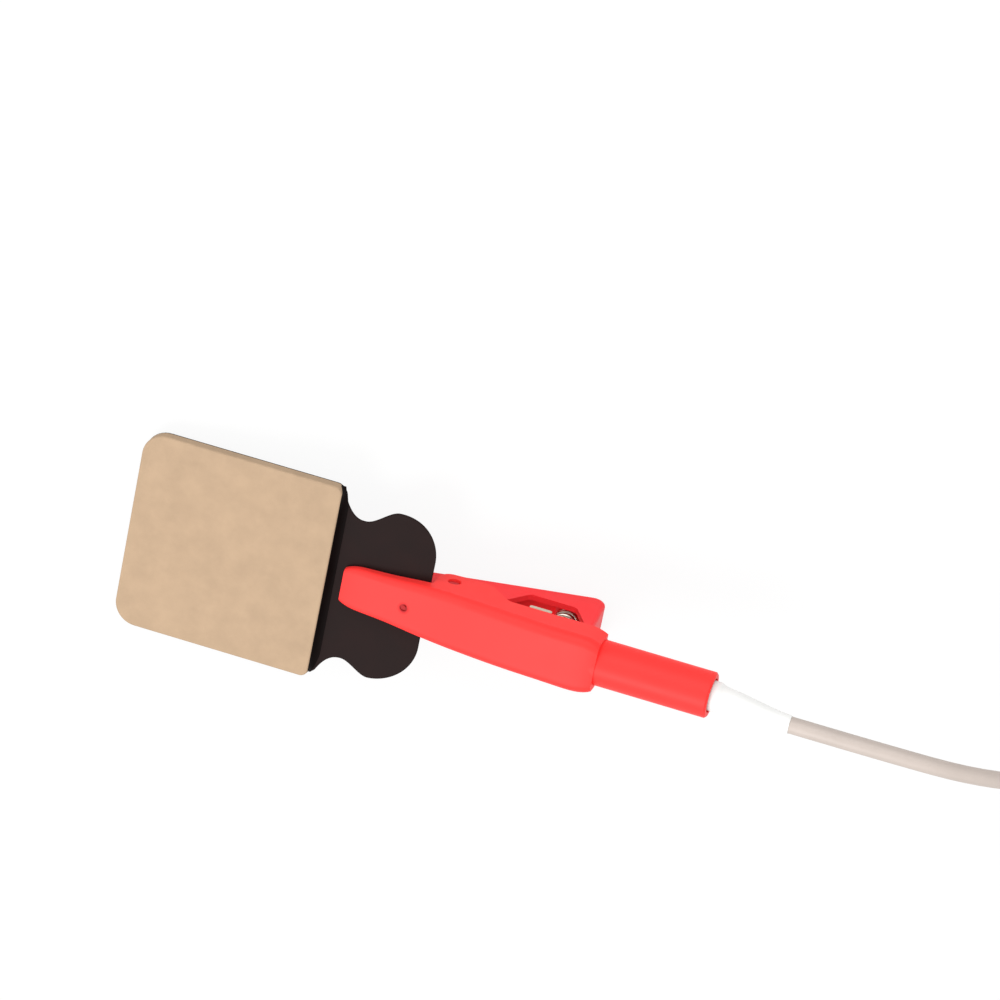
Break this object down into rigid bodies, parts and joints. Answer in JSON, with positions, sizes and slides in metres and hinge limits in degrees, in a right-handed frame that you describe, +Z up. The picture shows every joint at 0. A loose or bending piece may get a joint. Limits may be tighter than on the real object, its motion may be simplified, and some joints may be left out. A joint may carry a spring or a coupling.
{
  "type": "ecg electrode",
  "caption": "Square tab electrode held in a sprung red clip, with a socket, a plugged-in grey lead, its tied coil and a safety connector.",
  "frame": {"origin": "bottom centre of the electrode and clip's box, on the table, without the lead and its plug", "axes": "+X from the pad to the lead, +Z up, as it lies on the pad's far edge and the lever's end"},
  "size_m": [0.142, 0.0312, 0.0175],
  "materials": {
    "tan_foam": "matt, fine-pored closed-cell foam",
    "carbon_film": "satin black conductive film",
    "hydrogel": "clear tacky gel",
    "red_shell": "moulded red plastic, soft gloss",
    "red_lever": "moulded red plastic, soft gloss",
    "plated_steel": "nickel-plated stamped steel",
    "spring_wire": "drawn spring wire",
    "brass_sleeve": "plated turned brass",
    "nickel_pin": "nickel-plated turned brass",
    "white_vinyl": "soft white moulding",
    "grey_jacket": "smooth flexible jacket",
    "tie_plastic": "plain soft band",
    "red_ring": "moulded red plastic"
  },
  "bodies": {
    "clip": {"foam_backing": "tan_foam", "contact_film": "carbon_film", "gel_pad": "hydrogel", "socket_shell": "red_shell", "fixed_jaw": "plated_steel", "pivot_pin": "plated_steel", "socket_sleeve": "brass_sleeve", "spring": "spring_wire", "plug_pin": "nickel_pin", "plug_body": "white_vinyl", "lead": "grey_jacket", "lead_coil": "grey_jacket", "lead_tie": "tie_plastic", "lead_tail": "grey_jacket", "connector_body": "white_vinyl", "connector_contact": "nickel_pin", "id_ring": "red_ring"},
    "lever": {"lever_shell": "red_lever", "moving_jaw": "plated_steel"}
  },
  "joints": [
    {"name": "jaw_hinge", "type": "hinge", "parent": "clip", "child": "lever", "pos_m": [0.00297, 0, 0.00567], "axis": [0, -1, 0], "range_deg": [0, 14], "stiffness_Nm_per_rad": 0.05, "springref_deg": -28.65, "deforming": ["spring"]}
  ]
}
